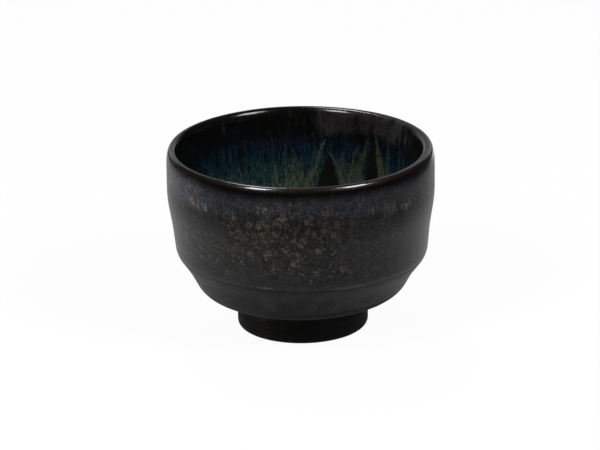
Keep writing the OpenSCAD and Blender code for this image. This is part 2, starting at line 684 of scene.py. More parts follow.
@dataclass(frozen=True)
class OilSpots:
    """Close soft oil spots of several sizes, with darker glaze between them."""

    pitches: tuple[float, ...] = (1.1, 2.1)
    warps: tuple[Span, ...] = ((0.4, 0.6), (1.4, 0.2))
    tan: Colour = tone(80, 71, 60)
    olive: Colour = tone(72, 71, 61)
    russet: Colour = tone(84, 67, 57)
    network: Colour = tone(12, 12, 12)
    network_span: Span = (0.1, 0.8)
    network_share: float = 0.5
    rim_span: Span = (0.02, 0.22)
    round_span: Span = (0.34, 0.6)
    hollow_span: Span = (0.1, 0.34)
    hollow_hues: Span = (0.6, 0.72)
    hollow_depth: float = 0.7
    shown_span: Span = (-0.5, 0.9)
    share_range: Span = (0.42, 0.78)

    def laid(
        self, graph: Graph, space: Space, colour: Wire, density: Wire, pitch: float
    ) -> tuple[Wire, Wire]:
        """Lays the spots of one size.

        Args:
            graph: The material's graph.
            space: Where the point lies.
            colour: The colour so far.
            density: The share of spots that show.
            pitch: The distance between spots, in mm.

        Returns:
            The colour with the spots on it, and the relief of the spots.
        """
        place = space.point
        for scale, reach in self.warps:
            place = graph.warped(place, scale, reach)
        cell = graph.cells(place, 1 / pitch)
        chance, size, hue = graph.split(cell.out("Color"))
        rim = graph.cells(place, 1 / pitch, "DISTANCE_TO_EDGE").out("Distance")
        body = rim.rise(*self.rim_span) * (1 - cell.out("Distance").rise(*self.round_span))
        hollow = (1 - cell.out("Distance").rise(*self.hollow_span)) * hue.rise(*self.hollow_hues)
        shown = (chance + density - 1).rise(*self.shown_span)
        stops = [(0.0, self.tan), (0.4, self.olive), (0.7, self.tan), (0.92, self.russet)]
        paint = graph.node("ShaderNodeValToRGB", {"stops": stops}, {"Fac": hue}).out()
        between = (1 - body) * density.rise(*self.network_span)
        colour = graph.mix(between * self.network_share, colour, self.network)
        share = body * (1 - hollow * self.hollow_depth) * shown * size.spread(*self.share_range)
        return graph.mix(share, colour, paint), body * shown - between


@dataclass(frozen=True)
class Haze:
    """The hazy band under the lip, with its blue patches and its tufts of pale flecks."""

    foot: float = 41.4
    fringe_depth: float = 7.0
    drift_depth: float = 3.0
    soft_below: float = 1.2
    soft_above: float = 1.6
    violet: Colour = tone(46, 45, 51)
    violet_share: float = 0.75
    blue: Colour = tone(10, 46, 63)
    fleck: Colour = tone(108, 112, 104)
    mark_share: float = 0.62
    mark_soft: float = 1.0
    blue_frays: Span = (3.2, 3.4)
    tuft_frays: Span = (2.0, 2.4)
    strand_span: Span = (0.46, 0.64)
    fringe_noise: Streaks = Streaks(0.6, 7.0)
    strand_noise: Streaks = Streaks(0.4, 2.0)
    patch_noise: Mottle = Mottle(0.9)
    blues: tuple[Blotch, ...] = (
        Blotch(-32.6, 43.0, 2.0, 2.1, 1.0),
        Blotch(-45.0, 43.2, 3.2, 1.4, 0.7),
        Blotch(-57.5, 42.0, 4.0, 1.6, 0.6),
        Blotch(1.5, 42.9, 4.6, 0.9, 0.6),
        Blotch(21.0, 42.4, 4.5, 1.2, 0.6),
        Blotch(92.0, 42.6, 4.5, 2.2, 0.9),
        Blotch(146.0, 43.0, 5.0, 1.8, 0.8),
        Blotch(-104.0, 42.7, 5.0, 2.2, 0.9),
        Blotch(-160.0, 42.8, 4.0, 1.9, 0.8),
    )
    tufts: tuple[Blotch, ...] = (
        Blotch(-49.0, 41.3, 8.5, 1.5, 1.0),
        Blotch(-31.0, 41.0, 3.0, 1.2, 0.6),
        Blotch(-17.0, 43.3, 4.0, 1.2, 0.7),
        Blotch(31.7, 41.1, 3.0, 1.2, 0.5),
        Blotch(51.5, 40.2, 5.5, 1.4, 0.8),
        Blotch(100.0, 41.0, 8.0, 1.5, 0.9),
        Blotch(152.0, 41.5, 7.0, 1.4, 0.8),
        Blotch(-98.0, 41.0, 7.0, 1.5, 0.9),
        Blotch(-150.0, 41.2, 8.0, 1.4, 0.8),
    )

    def laid(self, graph: Graph, space: Space, colour: Wire, drift: Wire, marked: bool) -> Wire:
        """Lays the band, and its patches and flecks where they are asked for.

        Args:
            graph: The material's graph.
            space: Where the point lies.
            colour: The colour so far.
            drift: A slow noise about 0.
            marked: Whether to lay the patches and the flecks.

        Returns:
            The colour with the haze on it.
        """

        def shown(blotches: tuple[Blotch, ...], frays: Span) -> Wire:
            """Shows patches whose edges the fringe and the mottle fray."""
            return patches(space, blotches, fringe * frays[0] + mottle * frays[1], self.mark_soft)

        fringe = self.fringe_noise.over(space) - 0.5
        foot = self.foot + fringe * self.fringe_depth + drift * self.drift_depth
        band = space.z.rise(foot - self.soft_below, foot + self.soft_above) * self.violet_share
        colour = graph.mix(band, colour, self.violet)
        if not marked:
            return colour
        mottle = self.patch_noise.over(space) - 0.5
        blues = shown(self.blues, self.blue_frays)
        colour = graph.mix(blues * self.mark_share, colour, self.blue)
        strands = self.strand_noise.over(space).rise(*self.strand_span)
        flecks = shown(self.tufts, self.tuft_frays) * strands
        return graph.mix(flecks * self.mark_share, colour, self.fleck)


@dataclass(frozen=True)
class WallGlaze(Finish):
    """Satin black glaze with oil spots and a hazy band, which turns glossy at the lip."""

    name: str = "oil_spot_glaze"
    ground: Colour = tone(29, 28, 29)
    warm: Colour = tone(33, 31, 30)
    warm_span: Span = (0.4, 0.66)
    spots: OilSpots = OilSpots()
    sparse: float = 0.06
    sparse_drift: float = 0.6
    spotted_fray: float = 2.6
    spotted_soft: float = 0.95
    haze: Haze = Haze()
    haze_reach: float = 3.0
    flake_share: float = 0.7
    flake_fray: float = 2.4
    flake_soft: float = 0.8
    spot_brown: Colour = tone(57, 51, 44)
    spot_red: Colour = tone(66, 44, 38)
    blemish: Blotch = Blotch(39.8, 40.5, 4.3, 1.95, 0.8)
    blemish_fray: float = 1.6
    blemish_soft: float = 0.6
    red_depths: Span = (1.8, 0.2)
    red_fray: float = 2.0
    # The pale of the lower edge's patches: painted highlights at the front, wear round the sides.
    worn: Colour = tone(84, 83, 82)
    wear_and_highlight_rough: float = 0.5
    wear_and_highlight_fray: float = 1.6
    wear_and_highlight_soft: float = 0.8
    lip_black: Colour = tone(4, 3, 3)
    lip_brown: Colour = tone(25, 16, 13)
    lip_heights: Span = (44.5, 47.6)
    lip_fray: float = 1.2
    lip_smooth: float = 0.8
    coat_heights: Span = (46.8, 47.9)
    crest: float = 48.6
    left_span: Span = (0.5, 0.95)
    left_rise: float = 1.5
    left_light_lift: float = 1.4
    edge: float = 20.8
    edge_lean: float = 0.4
    edge_soft: float = 0.7
    edge_fray: float = 0.8
    painted_shade_reach: float = 6.0
    painted_shade_share: float = 0.3
    rough: float = 0.28
    brush_rough: float = 0.1
    grain_rough: float = 0.14
    lip_rough: float = 0.14
    grain_relief: float = 0.5
    brush_relief: float = 0.2
    spot_relief: float = 0.2
    grain_contrast: Contrast = Contrast(6.4, 2.2, 0.12)
    cloud_gain: float = 1.7
    cloud_base: float = 0.15
    grain_noise: Mottle = Mottle(1.5, 4.0, 0.8)
    brush_noise: Streaks = Streaks(0.7, 6.0, rough=0.6)
    drift_noise: Mottle = Mottle(0.17)
    cloud_noise: Mottle = Mottle(0.42, rough=0.62, warp=(0.3, 1.4))
    edge_noise: Mottle = Mottle(1.0)
    hip: HipGlaze = HipGlaze()
    spotted_patches: tuple[Blotch, ...] = (
        Blotch(-9.0, 35.0, 27.0, 10.5, 1.0),
        Blotch(-42.0, 29.0, 20.0, 7.0, 0.55),
        Blotch(8.0, 26.0, 14.0, 3.0, 0.6),
        Blotch(118.0, 33.5, 26.0, 9.5, 0.9),
        Blotch(-132.0, 35.5, 32.0, 9.0, 0.95),
    )
    flakes: tuple[Blotch, ...] = (
        Blotch(-14.5, 38.8, 1.9, 1.0, 0.85),
        Blotch(-10.6, 40.0, 1.5, 0.9, 0.7),
        Blotch(-25.9, 34.4, 1.6, 0.8, 0.5),
        Blotch(-29.3, 39.9, 1.5, 0.8, 0.6),
        Blotch(-15.5, 30.6, 1.5, 0.8, 0.5),
        Blotch(-4.7, 44.9, 1.3, 0.8, 0.55),
        Blotch(9.8, 42.3, 1.7, 0.9, 0.5),
        Blotch(14.8, 39.0, 1.2, 1.4, 0.5),
        Blotch(112.0, 36.0, 1.8, 1.0, 0.7),
        Blotch(124.0, 38.5, 1.4, 0.9, 0.6),
        Blotch(-128.0, 37.0, 1.7, 1.0, 0.7),
        Blotch(-140.0, 33.0, 1.4, 0.9, 0.6),
    )
    # Patches on the lower edge: the first two are painted highlights at the front, the others wear round
    # the sides.
    edge_wear_and_highlights: tuple[Blotch, ...] = (
        Blotch(-16.8, 21.35, 4.0, 0.26, 0.65),
        Blotch(22.0, 20.8, 9.0, 0.45, 0.3),
        Blotch(88.0, 21.0, 7.0, 0.35, 0.5),
        Blotch(-141.0, 21.0, 5.0, 0.35, 0.6),
    )
    gloss: Gloss = Gloss(specular=0.24, relief_depth=0.16)

    def skin(self, graph: Graph, space: Space, marked: bool = True) -> Skin:
        """Builds the wall's colour, roughness, relief and gloss.

        Args:
            graph: The material's graph.
            space: Where the point lies.
            marked: Whether to lay the marks that lie below the lip's own coat.

        Returns:
            The wall's skin.
        """
        grain = self.grain_noise.over(space)
        brush = self.brush_noise.over(space)
        drift = self.drift_noise.over(space) - 0.5
        colour = graph.mix((drift + 0.5).rise(*self.warm_span), self.ground, self.warm)
        density = self.sparse + drift * self.sparse_drift
        if marked:
            fray = drift * self.spotted_fray
            density = density.at_least(patches(space, self.spotted_patches, fray, self.spotted_soft))
        relief = grain * self.grain_relief + brush * self.brush_relief
        for pitch in self.spots.pitches:
            colour, raised = self.spots.laid(graph, space, colour, density, pitch)
            relief = relief + raised * (self.spot_relief * pitch)
        colour = self.haze.laid(graph, space, colour, drift, marked)
        if marked:
            colour = self.marked(graph, space, colour)
        cloud = self.cloud_noise.over(space)
        shade = self.grain_contrast.on(grain) * (0.5 + brush) * (self.cloud_gain * cloud + self.cloud_base)
        # Painted light: the upper wall and its haze are made paler on the left side.
        left = (-space.round_x).rise(*self.left_span)
        # Painted shade: the wall darkens towards its lower edge, where it rounds under.
        low = 1 - space.z.rise(self.edge, self.edge + self.painted_shade_reach)
        high = space.z.rise(self.haze.foot - self.haze_reach, self.haze.foot)
        colour = graph.scaled(colour, shade * (1 - self.painted_shade_share * low + self.left_light_lift * left * high))
        height = space.z - left * self.left_rise
        lip = (height + drift * self.lip_fray + (grain - 0.5) * self.lip_fray).rise(*self.lip_heights)
        black = graph.mix(space.z.rise(self.lip_heights[1], self.crest), self.lip_black, self.lip_brown)
        colour = graph.mix(lip, colour, black)
        rough = self.rough + self.brush_rough * brush + self.grain_rough * grain - self.lip_rough * lip
        return Skin(colour, rough, relief * (1 - lip * self.lip_smooth), height.rise(*self.coat_heights))

    def marked(self, graph: Graph, space: Space, colour: Wire) -> Wire:
        """Lays the large flakes and the round brown spot.

        Args:
            graph: The material's graph.
            space: Where the point lies.
            colour: The colour so far.

        Returns:
            The colour with the marks on it.
        """
        uneven = self.edge_noise.over(space) - 0.5
        flakes = patches(space, self.flakes, uneven * self.flake_fray, self.flake_soft)
        colour = graph.mix(flakes * self.flake_share, colour, self.spots.tan)
        disc = patches(space, (self.blemish,), uneven * self.blemish_fray, self.blemish_soft)
        deep, shallow = (self.blemish.height - depth for depth in self.red_depths)
        low = 1 - (space.z + uneven * self.red_fray).rise(deep, shallow)
        paint = graph.mix(low, self.spot_brown, self.spot_red)
        return graph.mix(disc, colour, paint)

    def shader(self, graph: Graph, space: Space) -> Wire:
        """Builds the wall's satin, which runs into the hip's, with pale patches along its leaning lower
        edge: painted highlights at the front and wear round the sides.
        """
        uneven = self.edge_noise.over(space) - 0.5
        height = space.z + self.edge_lean * space.round_x + uneven * self.edge_fray
        above = height.rise(self.edge - self.edge_soft, self.edge + self.edge_soft)
        wall = shaded(graph, self.skin(graph, space), self.gloss)
        hip = self.hip.shader(graph, space)
        body = graph.blend(above, hip, wall)
        # Pale patches on the lower edge: painted highlights at the front and wear round the sides.
        bare = shaded(graph, Skin(self.worn, self.wear_and_highlight_rough, uneven), self.gloss)
        wear_and_highlight = patches(space, self.edge_wear_and_highlights, uneven * self.wear_and_highlight_fray, self.wear_and_highlight_soft)
        return graph.blend(wear_and_highlight, body, bare)


@dataclass(frozen=True)
class Tongue:
    """A bare black tongue between two runs of the lining, pointing up.

    Attributes:
        azimuth: Its tip's place, from the back of the cup.
        tip: The height of its tip.
        half_angle: Half its angle at the foot of what shows.
        lean: How far it turns for each mm down.
    """

    azimuth: float
    tip: float
    half_angle: float
    lean: float


@dataclass(frozen=True)
class GlazeRun:
    """A run of pale glaze down the lining.

    Attributes:
        top_azimuth: Its upper end's place, from the back of the cup.
        top: Its upper end's height.
        foot_azimuth: Its lower end's place.
        foot: Its lower end's height.
        half_angle: Half its angle at its lower end.
        gold: Its share of gold, from straw at 0 to gold at 1.
        strength: How strongly it shows.
    """

    top_azimuth: float
    top: float
    foot_azimuth: float
    foot: float
    half_angle: float
    gold: float
    strength: float


@dataclass(frozen=True)
class StrandLayer:
    """A layer of fine strands in the lining.

    Attributes:
        colour: The strands' colour.
        width: The width of a strand, in mm.
        length: The length of a strand.
        height: The mean height at which strands start.
        reach: How far the starting heights spread.
        span: The distance over which the strands close up.
        fill: How far they close up.
        strength: How strongly they show.
    """

    colour: Colour
    width: float
    length: float
    height: float
    reach: float
    span: float
    fill: float
    strength: float


@dataclass(frozen=True)
class PaleRuns:
    """Runs of straw and gold glaze down the lining."""

    straw: Colour = tone(76, 80, 60)
    gold: Colour = tone(66, 66, 32)
    share: float = 0.85
    tip_angle: float = 0.5
    waver: float = 4.5
    fraying: float = 1.6
    edge_span: Span = (0.4, 1.2)
    start_span: Span = (-0.06, 0.16)
    streak_span: Span = (0.36, 0.56)
    streak_noise: Streaks = Streaks(0.4, 1.4, rough=0.7)
    runs: tuple[GlazeRun, ...] = (
        GlazeRun(12.6, 40.6, 3.6, 28.0, 1.2, 0.25, 0.65),
        GlazeRun(14.6, 37.4, 22.2, 28.5, 0.9, 0.2, 0.6),
        GlazeRun(29.6, 39.5, 24.6, 29.0, 1.2, 0.1, 0.55),
        GlazeRun(35.8, 42.4, 29.4, 31.0, 3.0, 0.7, 0.65),
        GlazeRun(39.2, 43.6, 46.6, 31.0, 3.2, 0.9, 0.85),
        GlazeRun(22.0, 39.0, 21.0, 27.0, 4.5, 0.3, 0.3),
        GlazeRun(-3.0, 37.0, -2.0, 27.0, 5.0, 0.2, 0.3),
        GlazeRun(48.6, 43.4, 49.6, 33.0, 0.5, 0.0, 0.35),
        GlazeRun(-12.4, 35.5, -13.7, 27.0, 1.2, 0.0, 0.5),
        GlazeRun(-8.0, 35.8, -6.6, 27.0, 2.0, 0.2, 0.5),
        GlazeRun(-82.0, 39.5, -90.0, 28.0, 1.6, 0.3, 0.8),
        GlazeRun(-82.0, 39.0, -76.5, 28.0, 1.8, 0.8, 0.8),
        GlazeRun(88.0, 38.0, 80.5, 28.0, 2.0, 0.8, 0.9),
        GlazeRun(88.5, 38.5, 95.0, 28.0, 1.4, 0.2, 0.8),
        GlazeRun(127.0, 41.5, 120.0, 29.0, 1.8, 0.9, 0.9),
        GlazeRun(129.0, 41.0, 138.0, 29.0, 2.2, 0.7, 0.9),
        GlazeRun(167.0, 39.0, 160.0, 28.0, 1.8, 0.3, 0.8),
        GlazeRun(-133.0, 41.0, -126.0, 28.0, 2.0, 0.8, 0.9),
        GlazeRun(-135.0, 40.5, -142.0, 28.0, 1.5, 0.2, 0.8),
    )

    def paint(self, gold: float) -> Colour:
        """Mixes straw with gold."""
        red, green, blue, alpha = (s + (g - s) * gold for s, g in zip(self.straw, self.gold))
        return red, green, blue, alpha

    def laid(self, graph: Graph, space: Space, colour: Wire, wander: Wire, fray: Wire) -> Wire:
        """Lays the pale runs on the lining.

        Args:
            graph: The material's graph.
            space: Where the point lies.
            colour: The colour so far.
            wander: A noise about 0 that makes the runs waver.
            fray: A finer noise about 0 that frays their edges.

        Returns:
            The colour with the runs on it.
        """
        streaks = self.streak_noise.over(space).rise(*self.streak_span)
        for run in self.runs:
            fall = (run.top - space.z) / (run.top - run.foot)
            middle = run.top_azimuth + fall * (run.foot_azimuth - run.top_azimuth)
            half = self.tip_angle + fall.at_least(0.0) * run.half_angle
            aside = abs(space.back - middle + wander * self.waver) / half + fray * self.fraying
            shown = (1 - aside.rise(*self.edge_span)) * fall.rise(*self.start_span) * streaks
            colour = graph.mix(shown * (self.share * run.strength), colour, self.paint(run.gold))
        return colour


@dataclass(frozen=True)
class BlackTongues:
    """Bare black tongues between the runs of the lining."""

    dark: Colour = tone(16, 15, 12)
    share: float = 0.95
    foot: float = 28.0
    least_fall: float = 0.0004
    taper: float = 0.65
    waver: float = 3.6
    fraying: float = 0.5
    edge_span: Span = (0.6, 1.15)
    start_depths: Span = (0.0, 1.0)
    tongues: tuple[Tongue, ...] = (
        Tongue(14.3, 36.2, 6.4, 0.0),
        Tongue(38.2, 41.6, 5.6, 0.1),
        Tongue(-84.0, 36.0, 4.4, 0.1),
        Tongue(88.0, 35.0, 4.6, -0.1),
        Tongue(128.0, 39.0, 4.0, 0.1),
        Tongue(168.0, 36.5, 5.0, 0.0),
        Tongue(-134.0, 38.5, 4.0, -0.1),
    )

    def laid(self, graph: Graph, space: Space, colour: Wire, wander: Wire, fray: Wire) -> Wire:
        """Lays the black tongues on the lining.

        Args:
            graph: The material's graph.
            space: Where the point lies.
            colour: The colour so far.
            wander: A noise about 0 that makes them waver.
            fray: A finer noise about 0 that frays their edges.

        Returns:
            The colour with the tongues on it.
        """
        for tongue in self.tongues:
            depth = tongue.tip - space.z
            fall = depth / (tongue.tip - self.foot)
            half = fall.at_least(self.least_fall).math("POWER", self.taper) * tongue.half_angle
            aside = abs(space.back - tongue.azimuth - depth * tongue.lean + wander * self.waver)
            edge = (aside / half + fray * self.fraying).rise(*self.edge_span)
            shown = (1 - edge) * depth.rise(*self.start_depths)
            colour = graph.mix(shown * self.share, colour, self.dark)
        return colour


@dataclass(frozen=True)
class LipBand:
    """The lip's black and brown glaze, which runs over the top of the lining."""

    black: Colour = tone(8, 8, 7)
    brown: Colour = tone(40, 37, 37)
    brown_span: Span = (0.5, 0.76)
    brown_side: float = 34.0
    brown_half: float = 36.0
    side_span: Span = (0.5, 1.0)
    side_weight: float = 0.18
    streak_weight: float = 0.6
    cloud_weight: float = 0.4
    speck: Colour = tone(64, 60, 56)
    speck_span: Span = (0.55, 0.75)
    speck_share: float = 0.5
    heights: Span = (40.8, 45.0)
    fraying: float = 6.0
    streak_noise: Streaks = Streaks(1.7, 9.0, 4.0, 0.7)
    cloud_noise: Mottle = Mottle(0.25)

    def laid(self, graph: Graph, space: Space, colour: Wire, grain: Wire, sway: Wire) -> Wire:
        """Lays the band over the top of the lining.

        Args:
            graph: The material's graph.
            space: Where the point lies.
            colour: The colour so far.
            grain: A fine noise.
            sway: How far the strands stand aside, in mm.

        Returns:
            The colour with the band on it.
        """
        streak = self.streak_noise.over(space, sway)
        cloud = self.cloud_noise.over(space)
        side = 1 - abs((space.back - self.brown_side) / self.brown_half).rise(*self.side_span)
        mixed = streak * self.streak_weight + cloud * self.cloud_weight + side * self.side_weight
        clouds = mixed.rise(*self.brown_span)
        band = graph.mix(clouds, self.black, self.brown)
        band = graph.mix(grain.rise(*self.speck_span) * clouds * self.speck_share, band, self.speck)
        height = space.z + (streak - 0.5) * self.fraying + (cloud - 0.5) * self.fraying
        return graph.mix(height.rise(*self.heights), colour, band)


@dataclass(frozen=True)
class LiningGlaze(Finish):
    """Glossy lining, black at the top, with blue, teal and straw strands and black tongues."""

    name: str = "streaked_lining_glaze"
    black: Colour = tone(6, 8, 11)
    ground_span: Span = (0.5, 0.8)
    ground_share: float = 0.5
    strand_detail: float = 4.0
    strand_rough: float = 0.72
    strand_span: Span = (0.54, 0.7)
    strand_start: Span = (0.0, 0.4)
    start_length: float = 60.0
    sway: float = 2.6
    lighter_from: float = 44.0
    lighter_to: float = 110.0
    lighter_soft: float = 10.0
    lighter_lift: float = 0.75
    grain_range: Span = (0.2, 1.8)
    rough: float = 0.15
    fray_rough: float = 0.1
    wander_noise: Streaks = Streaks(2.4, 4.5, rough=0.6)
    fray_noise: Streaks = Streaks(0.5, 3.0)
    grain_noise: Mottle = Mottle(1.9, rough=0.7)
    pale_runs: PaleRuns = PaleRuns()
    black_tongues: BlackTongues = BlackTongues()
    lip_band: LipBand = LipBand()
    layers: tuple[StrandLayer, ...] = (
        StrandLayer(tone(7, 16, 29), 0.8, 7.0, 44.0, 9.0, 8.0, 0.16, 0.95),
        StrandLayer(tone(13, 38, 47), 0.5, 5.0, 43.0, 10.0, 12.0, 0.17, 0.85),
        StrandLayer(tone(36, 50, 54), 0.35, 7.0, 43.0, 9.0, 12.0, 0.07, 0.55),
        StrandLayer(tone(33, 56, 47), 0.45, 3.2, 40.0, 11.0, 11.0, 0.13, 0.8),
        StrandLayer(tone(76, 78, 66), 0.4, 2.4, 35.5, 10.0, 9.0, 0.1, 0.8),
        StrandLayer(tone(5, 8, 12), 0.45, 1.8, 42.0, 6.0, 8.0, 0.06, 0.9),
    )
    gloss: Gloss = Gloss(specular=0.4, relief_depth=0.015)

    def streaked(self, graph: Graph, space: Space, colour: Wire, layer: StrandLayer, sway: Wire) -> Wire:
        """Lays one layer of strands, each of which starts at its own height.

        Args:
            graph: The material's graph.
            space: Where the point lies.
            colour: The colour so far.
            layer: The layer's sizes and colour.
            sway: How far the strands stand aside, in mm.

        Returns:
            The colour with the strands on it.
        """
        strand = Streaks(layer.width, layer.length, self.strand_detail, self.strand_rough).over(space, sway)
        starts = Streaks(layer.width * 2, self.start_length, rough=0.6).over(space, sway) - 0.5
        depth = (layer.height + starts * (2 * layer.reach) - space.z) / layer.span
        filled = (strand + depth.rise(0.0, 1.0) * layer.fill).rise(*self.strand_span)
        shown = filled * depth.rise(*self.strand_start)
        return graph.mix(shown * layer.strength, colour, layer.colour)

    def shader(self, graph: Graph, space: Space) -> Wire:
        """Builds the streaked lining."""
        wander = self.wander_noise.over(space) - 0.5
        fray = self.fray_noise.over(space) - 0.5
        grain = self.grain_noise.over(space)
        sway = wander * self.sway
        ground = grain.rise(*self.ground_span) * self.ground_share
        colour = graph.mix(ground, self.black, self.layers[0].colour)
        for layer in self.layers:
            colour = self.streaked(graph, space, colour, layer, sway)
        colour = self.pale_runs.laid(graph, space, colour, wander, fray)
        colour = self.black_tongues.laid(graph, space, colour, wander, fray)
        colour = self.lip_band.laid(graph, space, colour, grain, sway)
        # The lining is lighter on its right-hand side.
        rightward = space.back.window(self.lighter_from, self.lighter_to, self.lighter_soft)
        colour = graph.scaled(colour, grain.spread(*self.grain_range) * (1 + self.lighter_lift * rightward))
        rough = self.rough + self.fray_rough * fray
        return shaded(graph, Skin(colour, rough, fray + wander), self.gloss)


@dataclass(frozen=True)
class LipGlaze(Finish):
    """Glossy black glaze over the lip, which runs into the wall's glaze and into the lining."""

    name: str = "black_lip_glaze"
    inner_radius: float = 33.2
    inner_soft: float = 0.3
    wall: WallGlaze = WallGlaze()
    lining: LiningGlaze = LiningGlaze()

    def shader(self, graph: Graph, space: Space) -> Wire:
        """Builds the wall's glaze outside and the lining's band inside."""
        inside = 1 - space.radius.rise(
            self.inner_radius - self.inner_soft, self.inner_radius + self.inner_soft
        )
        outer = shaded(graph, self.wall.skin(graph, space, marked=False), self.wall.gloss)
        inner = self.lining.shader(graph, space)
        return graph.blend(inside, outer, inner)


@dataclass(frozen=True)
class PoolGlaze(Finish):
    """Thick glossy olive glaze, pooled in the bottom and clouded with blue."""

    name: str = "pooled_glaze"
    deep: Colour = tone(14, 20, 18)
    olive: Colour = tone(66, 70, 40)
    blue: Colour = tone(26, 54, 70)
    warp: Span = (0.14, 2.5)
    cloud_noise: tuple[float, float, float] = (0.22, 4.0, 0.6)
    swirl_noise: tuple[float, float, float] = (0.5, 3.0, 0.6)
    olive_span: Span = (0.4, 0.64)
    blue_span: Span = (0.5, 0.7)
    shore_span: Span = (7.0, 13.0)
    shore_share: float = 0.6
    rough_range: Span = (0.06, 0.12)
    gloss: Gloss = Gloss(specular=0.5, relief_depth=0.03)

    def shader(self, graph: Graph, space: Space) -> Wire:
        """Builds a clouded pool."""
        place = graph.warped(space.point, *self.warp)
        cloud = graph.noise(place, *self.cloud_noise)
        swirl = graph.noise(place, *self.swirl_noise)
        shore = space.radius.rise(*self.shore_span)
        colour = graph.mix(cloud.rise(*self.olive_span), self.deep, self.olive)
        bluer = swirl.rise(*self.blue_span) * (1 - shore * self.shore_share)
        colour = graph.mix(bluer, colour, self.blue)
        return shaded(graph, Skin(colour, swirl.spread(*self.rough_range), cloud), self.gloss)


@dataclass(frozen=True)
class StudioFloor(Finish):
    """Plain white floor, clear from below so that the foot can be seen."""

    name: str = "studio_floor"
    white: Colour = (0.94, 0.94, 0.94, 1.0)
    far: Colour = (0.05, 0.05, 0.05, 1.0)
    backdrop: Colour = (1.0, 1.0, 1.0, 1.0)
    glow_share: float = 0.95
    sheet_middle: tuple[float, float, float] = (-19.0, 156.0, 0.0)
    sheet_shape: tuple[float, float, float] = (1.0, 0.63, 1.0)
    sheet_full: float = 106.0
    sheet_end: float = 184.0

    def shader(self, graph: Graph, space: Space) -> Wire:
        """Builds a matte white, paler than it is lit. The cup mirrors a sheet of it close behind."""
        path = graph.node("ShaderNodeLightPath")
        camera = path.out("Is Camera Ray")
        offset = graph.vector("SUBTRACT", space.point, self.sheet_middle)
        offset = graph.vector("MULTIPLY", offset, self.sheet_shape)
        away = graph.node("ShaderNodeVectorMath", {"operation": "LENGTH"}, {0: offset}).out("Value")
        beyond = away.rise(self.sheet_full, self.sheet_end)
        mirrored = (path.out("Is Glossy Ray") + path.out("Is Transmission Ray")) * (1 - beyond)
        white = graph.node("ShaderNodeBsdfDiffuse", None, {"Color": self.white}).out()
        dark = graph.node("ShaderNodeBsdfDiffuse", None, {"Color": self.far}).out()
        matte = graph.blend(beyond * (1 - camera), white, dark)
        glow = graph.node("ShaderNodeEmission", None, {"Color": self.backdrop, "Strength": 1.0}).out()
        seen = (camera + mirrored) * self.glow_share
        lit = graph.blend(seen, matte, glow)
        clear = graph.node("ShaderNodeBsdfTransparent").out()
        under = graph.node("ShaderNodeNewGeometry").out("Backfacing")
        return graph.blend(under, lit, clear)


@dataclass(frozen=True)
class Station:
    """A point of a turned outline, in mm, with the way out of the clay there."""

    at: Vector
    out: Vector
    give: float = 1.0

    def raised(self, height: float, give: float | None = None) -> "Station":
        """Moves the station out of the clay.

        Args:
            height: How far it moves, negative to sink it.
            give: How far the thrown surface may move it then, if that changes.

        Returns:
            The moved station.
        """
        return Station(self.at + self.out * height, self.out, self.give if give is None else give)


Run = list[Station]


def outward(start: Vector, end: Vector) -> Vector:
    """Gives the way out of the clay beside a straight stretch."""
    ahead = (end - start).normalized()
    return Vector((ahead.y, -ahead.x))


def rounded(before: Vector, corner: Vector, after: Vector, radius: float, pitch: float) -> Run:
    """Rounds a corner of the outline.

    Args:
        before: The corner before it.
        corner: The corner to round.
        after: The corner after it.
        radius: The rounding's radius.
        pitch: The greatest distance between stations.

    Returns:
        Stations along the arc.
    """
    ahead = (corner - before).normalized()
    onward = (after - corner).normalized()
    side = math.copysign(1.0, ahead.x * onward.y - ahead.y * onward.x)
    turn = ahead.angle(onward)
    out = outward(before, corner)
    centre = corner - ahead * radius * math.tan(turn / 2) - out * side * radius
    steps = max(6, math.ceil(turn * radius / pitch))
    run = []
    for step in range(steps + 1):
        normal = Matrix.Rotation(side * turn * step / steps, 2) @ out
        run.append(Station(centre + normal * side * radius, normal))
    return run


def eased(before: Vector, corner: Vector, after: Vector, reach: Span, steps: int) -> Run:
    """Rounds a corner by a curve that may reach further along one side than along the other.

    Args:
        before: The corner before it.
        corner: The corner to round.
        after: The corner after it.
        reach: How far the curve reaches along the side before the corner and the side after it.
        steps: The number of stretches.

    Returns:
        Stations along the curve.
    """
    start = corner + (before - corner).normalized() * reach[0]
    end = corner + (after - corner).normalized() * reach[1]
    run = []
    for step in range(steps + 1):
        near = start.lerp(corner, step / steps)
        far = corner.lerp(end, step / steps)
        run.append(Station(near.lerp(far, step / steps), outward(near, far)))
    return run


def filled(run: Run, pitch: float) -> Run:
    """Adds stations to a run's long straight stretches.

    Args:
        run: The run of stations.
        pitch: The greatest distance between stations.

    Returns:
        The fuller run.
    """
    full = [run[0]]
    for start, end in zip(run, run[1:]):
        count = max(1, math.ceil((end.at - start.at).length / pitch))
        for step in range(1, count):
            share = step / count
            out = start.out.lerp(end.out, share).normalized()
            full.append(Station(start.at.lerp(end.at, share), out, start.give))
        full.append(end)
    return full


